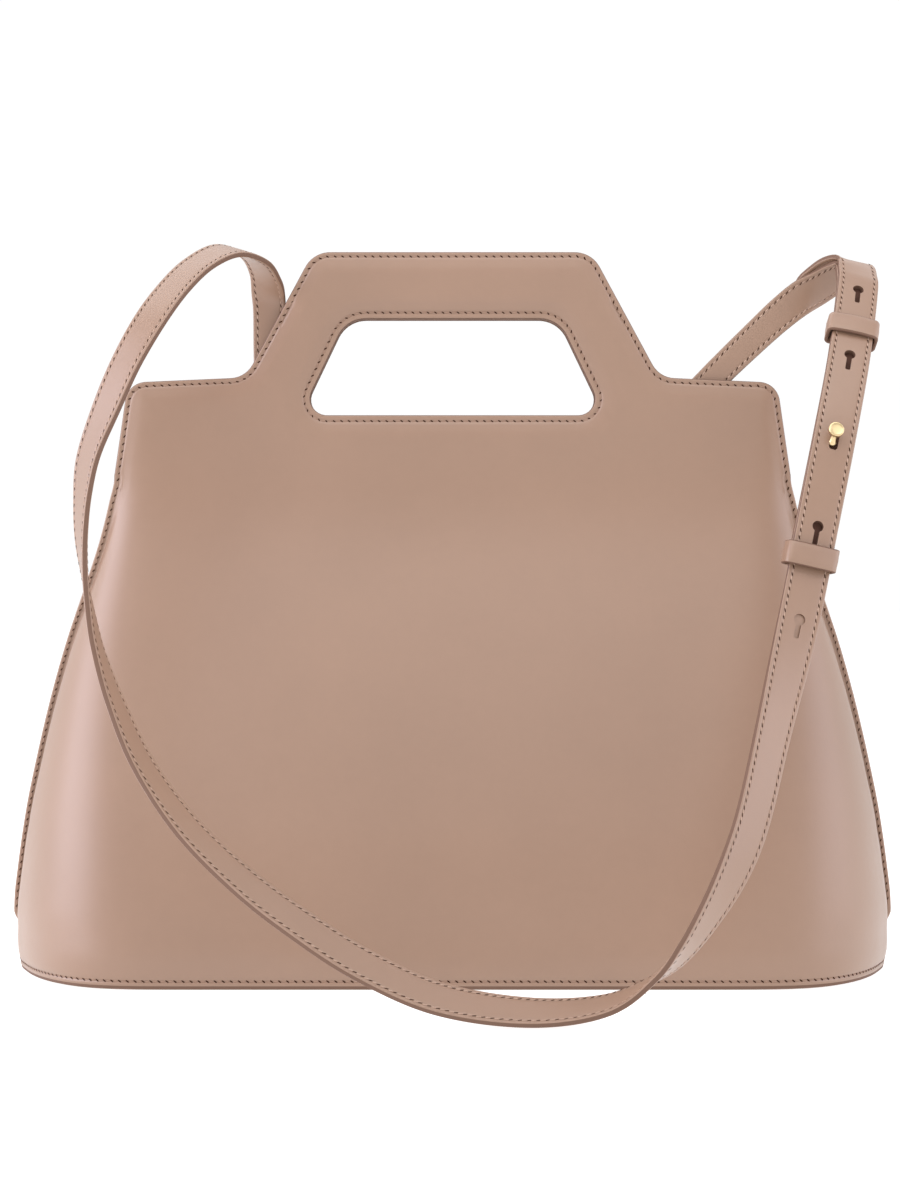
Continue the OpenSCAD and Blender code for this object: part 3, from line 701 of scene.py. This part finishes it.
def half_stitches(back):
    """The stitches of a half: along its outer edge, round its hand opening and over its hem."""
    side = "back" if back else "front"
    outline = resampled(half_outline(), 0.5, closed=True)
    ring = outline + inward(outline) * edge_stitch_in(outline[:, 1])[:, None]
    ring = ring[ring[:, 1] > NOTCH_Z + 3]
    cut = int(np.argmax(np.linalg.norm(np.roll(ring, -1, 0) - ring, axis=1))) + 1
    ring = np.roll(ring, -cut, 0)
    grip = resampled(grip_outline(), 0.5, closed=True)
    grip = grip - inward(grip) * GRIP_STITCH_IN
    hem_z = HEM_LIFT + HEM_STITCH_IN
    reach = float(SHEET.half_way(hem_z)) - 3
    hem = np.array([(-reach, hem_z), (reach, hem_z)])
    return [stitch_line(f"{side}_edge_stitches", ring, back),
            stitch_line(f"{side}_grip_stitches", grip, back, GRIP_STITCH_IN, closed=True),
            stitch_line(f"{side}_hem_stitches", hem, back, HEM_STITCH_IN, hole_body=HEM_HOLE_BODY)]


# The strap's route, as in the part's source: places in millimetres and directions across it
STRAP_ROWS = np.array([
    (-78, -0.6, 222, 1, 0, 0), (-78, -0.6, 246, 1, 0, 0), (-78, -0.1, 262, 1, 0, 0),
    (-77.9, 0.3, 278, 1, 0, 0), (-78.2, -1.2, 284.4, 0.98, -0.16, -0.08),
    (-78.9, -8.3, 291.2, 0.88, -0.38, -0.28), (-82.8, -20, 297.4, 0.8, -0.51, -0.3),
    (-92.6, -34, 299, 0.8, -0.56, -0.28), (-103.3, -47, 291.8, 0.82, -0.55, -0.15),
    (-112.4, -60, 280.1, 0.82, -0.56, -0.1), (-120.5, -73, 265.5, 0.82, -0.57, -0.08),
    (-129, -80.5, 248, 0.77, -0.63, -0.03), (-136, -86.5, 229.5, 0.72, -0.69, 0),
    (-142, -91.5, 211, 0.6, -0.79, 0.08), (-143.8, -95, 195, 0.45, -0.88, 0.13),
    (-143.8, -98, 180, 0.32, -0.93, 0.17), (-142, -101.5, 165, 0.14, -0.97, 0.2),
    (-139.3, -105, 150, 0, -0.98, 0.2), (-135.5, -109.5, 135, -0.12, -0.97, 0.2),
    (-128, -115.5, 115, -0.28, -0.94, 0.15), (-116.5, -123, 92, -0.4, -0.91, 0.06),
    (-98.8, -132, 69.2, -0.47, -0.87, -0.1), (-77, -141.5, 50, -0.5, -0.83, -0.23),
    (-56, -149.5, 35.5, -0.46, -0.81, -0.34), (-32.5, -155.5, 21.5, -0.37, -0.82, -0.44),
    (-5, -159.5, 10, -0.2, -0.85, -0.49), (27, -160.5, 5.2, 0, -0.9, -0.43),
    (54, -157.5, 7, 0.04, -0.97, -0.24), (72, -151.5, 15, -0.08, -0.99, 0.06),
    (85, -144.5, 25, -0.22, -0.88, 0.42), (96.5, -136.5, 39.5, -0.4, -0.72, 0.56),
    (106.8, -127, 56, -0.6, -0.54, 0.6), (114.5, -117.5, 74, -0.72, -0.5, 0.48),
    (124.2, -102, 107, -0.78, -0.44, 0.42), (136, -83, 147, -0.94, -0.17, 0.3),
    (145.2, -69.5, 184, -0.95, -0.1, 0.28), (154.3, -58, 222.5, -0.96, 0.01, 0.26),
    (162.8, -38.7, 255, -0.96, 0.08, 0.25), (170, -14.5, 284.5, -0.95, 0.05, 0.28),
    (171.3, -6, 293, -0.95, -0.02, 0.28), (170.8, 2.5, 298.4, -0.88, -0.45, 0.12),
    (166.5, 8.6, 297.3, -0.8, -0.5, 0.33)])
SHORT_ROWS = np.array([
    (164.2, 7, 293.3, -0.65, -0.53, 0.45), (156.5, 7.8, 288.6, -0.45, -0.45, 0.77),
    (148.8, 6.5, 284, -0.56, -0.15, 0.82), (140.2, 4.5, 277.2, -0.63, 0.05, 0.77),
    (131.5, 3, 269.3, -0.68, 0.1, 0.72), (116.5, 0, 255, -0.71, 0.05, 0.7),
    (106.5, -0.6, 244.8, -0.71, 0, 0.71), (92, -0.6, 229.6, -0.71, 0, 0.71)])
KEYHOLE_ROWS, STUD_ROW, TIP_ROW = (34, 35, 36, 37, 38), 36, 34.42
UPPER_KEEPER_ROW, LOWER_KEEPER_ROW, FULL_ROW = 37.4, 34.69, 8
# The lower keeper hangs askew: its slope along the strap, and the share of that across it
KEEPER_SKEW, KEEPER_TURN = 0.27, 0.26
# The tail's places across the short strap at its rows, and how far it stands off
TAIL_SHIFTS, TAIL_GAP = (1.6, 0.4, -1.6), 0.1
# A strap's rounded edges, and its round tips: length, share of the width at the end, and least width
STRAP_EDGE_R, TIP_L, TIP_BLUNT, TIP_W = 0.6, 9.0, 0.12, 2.6
# Lengths without stitches: at the straps' sewn ends, at the long one's tail and at the short one's tip
PLAIN_END, PLAIN_TAIL, PLAIN_TIP = 2.0, 30.0, 8.0


def frame_at(rows, u):
    """Place, along, across and out of the face at a row or between two, as in the part's source."""
    i = min(math.floor(u), len(rows) - 2)
    row = mixed(rows[i], rows[i + 1], u - i)
    a, b = max(math.ceil(u) - 1, 0), min(math.floor(u) + 1, len(rows) - 1)
    t = unit(rows[b][:3] - rows[a][:3])
    w = unit(row[3:] - (row[3:] @ t) * t)
    return row[:3], t, w, np.cross(t, w)


def long_route():
    """Rows of the long strap from its riveted end to its tail on the short strap, past the fold."""
    rows = np.vstack([STRAP_ROWS[-2:-1], SHORT_ROWS])
    out = list(STRAP_ROWS[:-1])
    for i, shift in enumerate(TAIL_SHIFTS, 1):
        place, _, w, n = frame_at(rows, i)
        out.append(np.concatenate([place + n * (STRAP_T + PLY_GAP + TAIL_GAP) + w * shift, w]))
    return np.array(out)


def short_route():
    """Rows of the short strap from its tip behind the long strap to its riveted end."""
    out = []
    for u in [TIP_ROW] + list(range(math.ceil(TIP_ROW), len(STRAP_ROWS) - 1)):
        place, _, w, n = frame_at(STRAP_ROWS, u)
        out.append(np.concatenate([place - n * (STRAP_T + PLY_GAP), w]))
    return np.array(out + list(SHORT_ROWS))


def catmull(rows, step=1.5):
    """Smooth curve through the rows, with the number of the row that each of its points lies at."""
    rows = np.vstack([2 * rows[0] - rows[1], rows, 2 * rows[-1] - rows[-2]])
    out, row_of = [], []
    for i in range(1, len(rows) - 2):
        a, b, c, d = rows[i - 1:i + 3]
        steps = max(2, int(round(np.linalg.norm(c[:3] - b[:3]) / step)))
        for k in range(steps):
            t = k / steps
            out.append(0.5 * (2 * b + (c - a) * t + (2 * a - 5 * b + 4 * c - d) * t * t
                              + (3 * b - a - 3 * c + d) * t ** 3))
            row_of.append(i - 1 + t)
    out.append(rows[-2])
    row_of.append(len(rows) - 3)
    return np.array(out), np.array(row_of)


def ribbon_profile(half_w, half_t):
    """Cross-section of a stitched strap as (across, out) points, anticlockwise from an edge."""
    r = STRAP_EDGE_R
    corner = [(math.cos(a), math.sin(a)) for a in np.radians([0, 30, 60, 90])]
    right = [(half_w - r + r * c, half_t - r + r * s) for c, s in corner]
    s = half_w - STRAP_STITCH_IN
    top = [(half_w - 1.1, half_t), (s + 0.35, half_t - 0.06), (s, half_t - 0.22), (s - 0.35, half_t - 0.06),
           (s - 1.0, half_t), (s * 0.5, half_t + 0.05), (0, half_t + 0.07)]
    upper = right + top
    upper += [(-x, y) for x, y in upper[::-1][1:]]
    lower = [(-x, -y) for x, y in upper]
    return np.array(upper + lower)


def ribbon(name, rows, widths, tip_first=False, tip_last=False):
    """Stitched leather strap along a route, and the frames that its stitches and holes use."""
    points, row_of = catmull(rows)
    place, w = points[:, :3], points[:, 3:]
    t = unit(np.gradient(place, axis=0))
    w = unit(w - np.sum(w * t, 1)[:, None] * t)
    n = np.cross(t, w)
    width = np.interp(row_of, np.arange(len(widths)), widths)
    way = way_along(place)
    for ends, use in ((way, tip_first), (way[-1] - way, tip_last)):
        if use:
            near = np.clip(ends / TIP_L, 0, 1)
            width = width * mixed(TIP_BLUNT, 1, np.sqrt(1 - (1 - near) ** 2))
    verts = []
    for p, ww, nn, wide in zip(place, w, n, width):
        profile = ribbon_profile(max(wide, TIP_W) / 2, STRAP_T / 2)
        verts.append(p + profile[:, :1] * ww + profile[:, 1:] * nn)
    count = len(profile)
    half = count // 2
    faces = turned(around(len(place), count))
    slots = [1 if k % half < 1 or k % half >= half - 2 else 0 for k in range(count)] * (len(place) - 1)
    last = (len(place) - 1) * count
    faces += [tuple(range(count)), tuple(last + k for k in range(count))[::-1]]
    slots += [1, 1]
    obj = mesh_object(name, np.vstack(verts), faces, [STRAP, PAINT], slots)
    return obj, {"place": place, "t": t, "w": w, "n": n, "width": width, "way": way}


def ribbon_stitches(name, route, skip_start, skip_end):
    """Two rows of stitches on each face of a strap."""
    way = route["way"]
    marks = np.arange(skip_start, way[-1] - skip_end, STITCH_PITCH)

    def pick(key):
        return np.stack([np.interp(marks, way, route[key][:, k]) for k in range(3)], -1)
    place, t, w, n = pick("place"), unit(pick("t")), unit(pick("w")), unit(pick("n"))
    inset = (np.interp(marks, way, route["width"]) / 2 - STRAP_STITCH_IN)[:, None]
    sunk = n * (STRAP_T / 2 - HOLE_OUT)
    origin = np.vstack([place + w * side * inset + sunk * face for side in (-1, 1) for face in (-1, 1)])
    return stitches(name, origin, np.vstack([t] * 4), np.vstack([-n, n] * 2), STRAP_HOLE_TURN,
                    STRAP_HOLE_BODY, STRAP_THREAD)


def on_strap(points, u):
    """Points placed on the long strap at row u: X goes across it, Y along it and Z out of its face."""
    place, t, w, n = frame_at(STRAP_ROWS, u)
    return np.asarray(points) @ np.array([-w, t, n]) + place


def keyhole_loop(half, steps=20):
    """Outline of a keyhole with its round part on top and a slit of that half width."""
    start = math.asin(half / KEYHOLE_R)
    angles = start + (2 * math.pi - 2 * start) * np.arange(steps + 1) / steps
    arc = KEYHOLE_R * np.column_stack([np.sin(angles), -np.cos(angles)])
    low = half * 0.5 - SLIT_L
    return np.vstack([arc, [(-half, low), (-half * 0.6, -SLIT_L), (half * 0.6, -SLIT_L), (half, low)]])


def cutter(name, u, depth, floor):
    """Body that cuts a keyhole to a depth below the face, with the floor's material."""
    loop = keyhole_loop(STUD_SLIT_W / 2 if u == STUD_ROW else SLIT_W / 2)
    n = len(loop)
    verts = np.vstack([np.column_stack([loop, np.full(n, z)]) for z in (STRAP_T / 2 - depth, STRAP_T)])
    faces = [tuple(range(n))[::-1], tuple(range(n, 2 * n)), *around(2, n)]
    return mesh_object(name, on_strap(verts, u), faces, [PAINT, floor], [1] + [0] * (n + 1), smooth=False)


def cut_keyholes(strap):
    """Cuts the keyholes into the long strap, to just short of its back, leaving a thin floor in painted
    shade; the lowest one is only marked.
    """
    for i, u in enumerate(KEYHOLE_ROWS):
        # The cut walls wear the edge paint, which on the marked keyhole also stands in for the shade in its
        # shallow groove; the floors of the cut keyholes wear painted shade
        depth, floor = (KEYHOLE_DEPTH, KEYHOLE_FLOOR_SHADE) if i > 0 else (KEYHOLE_MARK, STRAP)
        tool = cutter(f"keyhole_tool_{i}", u, depth, floor)
        modifier = strap.modifiers.new("cut", "BOOLEAN")
        modifier.operation = "DIFFERENCE"
        modifier.solver = "EXACT"
        modifier.material_mode = "TRANSFER"
        modifier.object = tool
        graph = bpy.context.evaluated_depsgraph_get()
        mesh = bpy.data.meshes.new_from_object(strap.evaluated_get(graph), preserve_all_data_layers=True,
                                               depsgraph=graph)
        strap.modifiers.remove(modifier)
        strap.data = mesh
        bpy.data.objects.remove(tool)
    strap.data.set_sharp_from_angle(angle=math.radians(40))


def stud():
    """Buckling stud: a round head on a neck that is pulled down into the slit of its keyhole."""
    top, sides = STRAP_T / 2 + STUD_STAND, 48
    low = -STRAP_T / 2 - PLY_GAP
    r, n = STUD_HEAD_R, STUD_NECK_R
    profile = [(n, low), (n, NECK_FROM), (n - 0.1, 0.9), (n - 0.55, 1.2), (n - 0.6, top - 0.5),
               (n - 0.3, top - 0.1), (r - 0.7, top), (r - 0.2, top + 0.08), (r, top + 0.3), (r, top + 1.35),
               (r - 0.12, top + 1.62), (r - 0.36, top + 1.77), (r - 0.62, top + STUD_HEAD_T),
               (r - 0.8, top + 1.77), (r - 0.98, top + 1.7), (r - 1.2, top + 1.68), (0.3, top + 1.7)]
    verts, faces = [], list(around(len(profile), sides))
    for radius, z in profile:
        slide = NECK_SLIDE * (1 - float(ease((z - NECK_FROM) / (top - NECK_FROM))))
        verts += [(STUD_AT[0] + radius * math.cos(2 * math.pi * k / sides),
                   STUD_AT[1] - slide + radius * math.sin(2 * math.pi * k / sides), z) for k in range(sides)]
    faces.append(tuple(range(sides))[::-1])
    faces.append(tuple((len(profile) - 1) * sides + k for k in range(sides)))
    return mesh_object("strap_stud_head", on_strap(verts, STUD_ROW), faces, [BRASS])


def keeper(name, u, skew):
    """Leather loop round both straps, with rounded corners and painted edges; skew lowers its front."""
    x = STRAP_W / 2 + KEEPER_CLEAR + KEEPER_T
    y = STRAP_T + PLY_GAP / 2 + KEEPER_CLEAR + KEEPER_T
    corners = [(x, -y, KEEPER_R), (x, y, KEEPER_R), (-x, y, KEEPER_R), (-x, -y, KEEPER_R)]
    outer = resampled(rounded(corners, 0.3), 0.55, closed=True)
    direction = inward(outer)
    half, r = KEEPER_L / 2, 0.5
    upper = [(KEEPER_T, half - r), (KEEPER_T - r * 0.4, half - r * 0.3), (KEEPER_T - r, half), (r, half),
             (r * 0.4, half - r * 0.3), (0, half - r), (0, half * 0.5)]
    lower = [(inset, -place) for inset, place in upper[::-1]]
    ways = lower[-1:] + upper + [(-KEEPER_SWELL, 0)] + lower[:-1]
    painted = {1, 2, 3, 4, 5, 10, 11, 12, 13, 14}
    middle = -(STRAP_T + PLY_GAP) / 2
    verts = []
    for inset, place in ways:
        ring = outer + direction * inset
        ring[:, 1] += np.where(ring[:, 1] > 0, KEEPER_BOW * (1 - (ring[:, 0] / x) ** 2), 0)
        along = place - skew * (ring[:, 1] - KEEPER_TURN * ring[:, 0])
        verts.append(np.column_stack([ring[:, 0], along, ring[:, 1] + middle]))
    n = len(outer)
    slots = [1 if i in painted else 0 for i in range(len(ways)) for _ in range(n)]
    faces = turned(around(len(ways), n, closed=True))
    return mesh_object(name, on_strap(np.vstack(verts), u), faces, [STRAP, PAINT], slots)


def gusset(name, sign):
    """Folded side leather whose leaves lie behind the halves' turned-out edges."""
    heights = np.linspace(RIM_H + 1, GUSSET_TOP, 64)
    verts = []
    for z in heights:
        tip, wall = float(tip_at(z)) - 0.15, float(edge_at(z)) - FLANGE_W - PANEL_T
        out = float(seam_at(z)) - PANEL_T - 0.1
        fold = wall + PANEL_T - mixed(FOLD_LOW, FOLD_HIGH, (z - NOTCH_Z) / (PLATE_Z - NOTCH_Z))
        t = np.linspace(0, 1, 9)
        leaf_x = np.concatenate([[tip, wall + 1], mixed(wall, fold, t)])
        leaf_y = np.concatenate([[out, out], out * (1 - t ** 2) + GUSSET_T / 2 * t ** 2])
        outer = np.column_stack([leaf_x, leaf_y])
        inner_x = leaf_x + np.linspace(0, 1.6, len(leaf_x))
        inner = np.column_stack([inner_x, np.maximum(leaf_y - GUSSET_T, 0.05)])
        path = np.vstack([outer, outer[::-1] * (1, -1), inner * (1, -1), inner[::-1]])
        verts.append(np.column_stack([path[:, 0] * sign, path[:, 1], np.full(len(path), z)]))
    n = len(verts[0])
    faces = [face if sign < 0 else face[::-1] for face in around(len(heights), n)]
    quarter = n // 4
    for row, flip in ((0, sign < 0), (len(heights) - 1, sign > 0)):
        for k in range(2 * quarter - 1):
            ids = (row * n + k, row * n + k + 1, row * n + n - 2 - k, row * n + n - 1 - k)
            faces.append(ids[::-1] if flip else ids)
    return mesh_object(name, np.vstack(verts), faces, [LEATHER])


def base_tray():
    """Base leather with a rounded lower edge and a rim inside the halves, and its lined floor."""
    verts = []
    rim = RIM_INSET + RIM_T
    ways = [(rim, FLOOR_Z), (rim, RIM_H - 0.4), (rim - 0.4, RIM_H), (RIM_INSET + 0.4, RIM_H),
            (RIM_INSET, RIM_H - 0.4), (RIM_INSET, 1.2), (RIM_INSET + 0.35, 0.35), (RIM_INSET + 1.2, 0)]
    for inset, z in ways:
        cut_z = max(z, HEM_LIFT)
        x, y, _ = section(cut_z, 120)
        wall = float(wall_at(cut_z))
        keep = x <= wall - 0.05
        front = np.vstack([np.column_stack([x[keep], y[keep]]), [wall, 0]])
        quarter = resampled(front, way_along(front)[-1] / 80)
        loop = np.vstack([quarter * (1, -1), quarter[::-1][1:], (quarter * (-1, 1))[1:],
                          (quarter * (-1, -1))[::-1][1:-1]])
        verts.append(np.column_stack([loop + inward(loop) * inset, np.full(len(loop), z)]))
    n = len(loop)
    faces = turned(around(len(ways), n))
    faces.append(tuple((len(ways) - 1) * n + k for k in range(n))[::-1])
    faces.append(tuple(range(n)))
    slots = [0] * (len(faces) - 1) + [1]
    return mesh_object("base_leather", np.vstack(verts), faces, [LEATHER, LINING], slots)


def straps():
    """Both straps with their stitches, the stud and the keepers."""
    long_rows = long_route()
    share = np.clip((np.arange(len(long_rows)) - 1) / (FULL_ROW - 1), 0, 1)
    long_widths = mixed(STRAP_END_W, STRAP_W, share)
    long_strap, long_path = ribbon("long_strap", long_rows, long_widths, tip_last=True)
    cut_keyholes(long_strap)
    short_rows = short_route()
    lap = len(short_rows) - len(SHORT_ROWS)
    share = np.clip((np.arange(len(short_rows)) - lap + 1) / (len(SHORT_ROWS) - 2), 0, 1)
    short_widths = mixed(STRAP_W, STRAP_END_W, share)
    short_strap, short_path = ribbon("short_strap", short_rows, short_widths, tip_first=True)
    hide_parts("strap_long")
    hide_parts("strap_short")
    long_thread = ribbon_stitches("long_strap_stitches", long_path, PLAIN_END, PLAIN_TAIL)
    short_thread = ribbon_stitches("short_strap_stitches", short_path, PLAIN_TIP, PLAIN_END)
    button = stud()
    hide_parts("strap_stud")
    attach(button, "bag")
    for piece in (long_strap, short_strap, long_thread, short_thread):
        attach(piece, "bag")
    for name, u, skew, body in (("upper_keeper", UPPER_KEEPER_ROW, 0, "upper_loop"),
                                ("lower_keeper", LOWER_KEEPER_ROW, KEEPER_SKEW, "lower_loop")):
        loop = keeper(name + "_leather", u, skew)
        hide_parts(name)
        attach(loop, body)


def leather_body():
    """The halves with their stitches, the gussets and the base, and the finish of the metal parts."""
    front = half_shell("front_half", False)
    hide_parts("front_panel", "front_stiffener", "front_lining", "front_handle_core", "front_facing")
    back = half_shell("back_half", True)
    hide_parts("back_panel", "back_stiffener", "back_lining", "back_handle_core", "back_facing")
    for obj in [front] + half_stitches(False):
        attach(obj, "bag")
    for obj in [back] + half_stitches(True):
        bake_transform(obj)
    for name, sign in (("left_gusset_leather", -1), ("right_gusset_leather", 1)):
        side = gusset(name, sign)
        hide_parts(name.replace("_leather", ""))
        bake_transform(side)
    base = base_tray()
    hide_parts("base_panel", "base_board", "base_lining")
    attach(base, "bag")
    for node in ("front_snap", "back_snap", "stud_screw", "left_strap_rivet", "right_strap_rivet"):
        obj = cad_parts[node]
        obj.data.materials.clear()
        obj.data.materials.append(BRASS)


def area_light(name, place, target, size, size_y, energy, colour=(1, 1, 1)):
    """Rectangular light that shines from a place towards a target, both in metres."""
    data = bpy.data.lights.new(name, "AREA")
    data.shape = "RECTANGLE"
    data.size, data.size_y = size, size_y
    data.energy = energy
    data.color = colour
    obj = added(name, data)
    obj.location = place
    obj.rotation_euler = (Vector(target) - Vector(place)).to_track_quat("-Z", "Y").to_euler()


def studio():
    """White floor that runs into a white surround, with soft light from above and both sides."""
    scene = bpy.context.scene
    scene.view_settings.view_transform = "Standard"
    world = bpy.data.worlds.new("studio")
    world.use_nodes = True
    nodes, links = world.node_tree.nodes, world.node_tree.links
    value(nodes["Background"], "Color", (1, 1, 1, 1))
    coords = nodes.new("ShaderNodeTexCoord")
    split = nodes.new("ShaderNodeSeparateXYZ")
    links.new(coords.outputs["Generated"], split.inputs[0])
    fade = nodes.new("ShaderNodeMapRange")
    for name, amount in (("From Min", 0.28), ("From Max", 0.55), ("To Min", 1.02), ("To Max", 0.42)):
        value(fade, name, amount)
    links.new(split.outputs["Z"], fade.inputs["Value"])
    links.new(fade.outputs["Result"], nodes["Background"].inputs["Strength"])
    scene.world = world
    white = plain("floor_white", (0.4, 0.4, 0.4), rough=1.0, glow=0.88, bump=0.0)
    size = 30.0
    corners = np.array([(-size, -size, 0), (size, -size, 0), (size, size, 0), (-size, size, 0)])
    floor = mesh_object("floor", corners / MM, [(0, 1, 2, 3)], [white])
    cool = (0.88, 0.86, 1)
    area_light("top", (0, -0.6, 1.45), (0, 0, 0.2), 1.4, 1.0, 11)
    area_light("rim", (0, 0.7, 1.3), (0, 0, 0.25), 2.0, 0.8, 7, (1, 0.98, 1))
    area_light("left", (-1.5, -0.3, 0.75), (0, 0, 0.15), 1.5, 1.3, 24.5, cool)
    area_light("right", (1.5, -0.3, 0.75), (0, 0, 0.15), 1.5, 1.3, 11, cool)


def camera():
    """Level camera straight in front, where the photograph was taken from."""
    data = bpy.data.cameras.new("camera")
    data.lens = 77.6
    data.sensor_width = 36
    data.clip_end = 30
    obj = added("camera", data)
    obj.location = CAMERA_AT * MM
    obj.rotation_euler = (math.radians(90), 0, 0)
    bpy.context.scene.camera = obj


camera()
straps()
leather_body()
studio()
